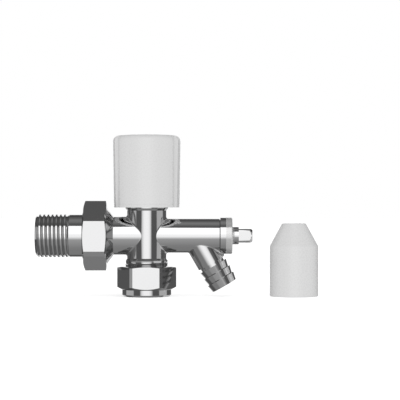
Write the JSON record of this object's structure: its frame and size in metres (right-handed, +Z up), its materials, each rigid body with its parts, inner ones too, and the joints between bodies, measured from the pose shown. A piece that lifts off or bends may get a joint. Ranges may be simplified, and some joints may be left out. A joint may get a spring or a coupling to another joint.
{
  "type": "radiator valve",
  "caption": "Manual radiator valve with a fluted handwheel, a union tail, a compression end for pipe, a drain arm with a barbed hose nozzle, and a loose lockshield cap.",
  "frame": {"origin": "on the upright axis, at the foot of the compression nut, where the pipe enters", "axes": "+Z up along the pipe and spindle, +X along the drain arm, away from the radiator"},
  "size_m": [0.1361, 0.0324, 0.0776],
  "materials": {
    "chrome": "bright chrome plate",
    "satin_metal": "satin nickel plate",
    "brass": "turned brass",
    "white_plastic": "soft gloss moulding",
    "rubber": "matt black rubber",
    "fibre": "pressed fibre"
  },
  "bodies": {
    "root": {"valve_body": "chrome", "main_bonnet": "brass", "bonnet_seal": "fibre", "spindle_o_ring": "rubber", "drain_gland": "satin_metal", "drain_gland_seal": "rubber", "drain_o_ring": "rubber", "lockshield_cap": "white_plastic"},
    "wheel": {"handwheel": "white_plastic"},
    "spindle": {"main_spindle": "brass", "jumper_plate": "brass", "seat_washer": "rubber", "washer_screw": "brass"},
    "tail": {"radiator_tail": "chrome", "union_seal": "fibre"},
    "union_nut": {"union_nut": "chrome"},
    "olive": {"compression_olive": "brass"},
    "compression_nut": {"compression_nut": "chrome"},
    "drain_plug": {"drain_jumper": "brass", "drain_washer": "rubber"},
    "drain_spindle": {"drain_spindle": "chrome"}
  },
  "joints": [
    {"name": "wheel_turn", "type": "hinge", "parent": "root", "child": "wheel", "pos_m": [0, 0, 0.045], "axis": [0, 0, 1], "range_deg": [0, 1080]},
    {"name": "spindle_rise", "type": "slide", "parent": "wheel", "child": "spindle", "axis": [0, 0, 1], "range_m": [0, 0.00451]},
    {"name": "union_draw", "type": "slide", "parent": "root", "child": "tail", "axis": [1, 0, 0], "range_m": [-0.00545, 0]},
    {"name": "union_nut_turn", "type": "hinge", "parent": "tail", "child": "union_nut", "pos_m": [-0.0255, 0, 0.02925], "axis": [1, 0, 0], "range_deg": [-1080, 0]},
    {"name": "olive_draw", "type": "slide", "parent": "root", "child": "olive", "axis": [0, 0, 1], "range_m": [-0.00545, 0]},
    {"name": "compression_nut_turn", "type": "hinge", "parent": "olive", "child": "compression_nut", "pos_m": [0, 0, 0.007], "axis": [0, 0, 1], "range_deg": [-1080, 0]},
    {"name": "drain_draw", "type": "slide", "parent": "root", "child": "drain_plug", "axis": [1, 0, 0], "range_m": [0, 0.0025]},
    {"name": "drain_turn", "type": "hinge", "parent": "drain_plug", "child": "drain_spindle", "pos_m": [0.035, 0, 0.02925], "axis": [1, 0, 0], "range_deg": [0, 721]}
  ],
  "couplings": [
    {"joint": "spindle_rise", "follows": "wheel_turn", "m_per_rad": 0.00023873},
    {"joint": "union_draw", "follows": "union_nut_turn", "m_per_rad": 0.00028871},
    {"joint": "olive_draw", "follows": "compression_nut_turn", "m_per_rad": 0.00028871},
    {"joint": "drain_turn", "follows": "drain_draw", "rad_per_m": 5026.5}
  ]
}
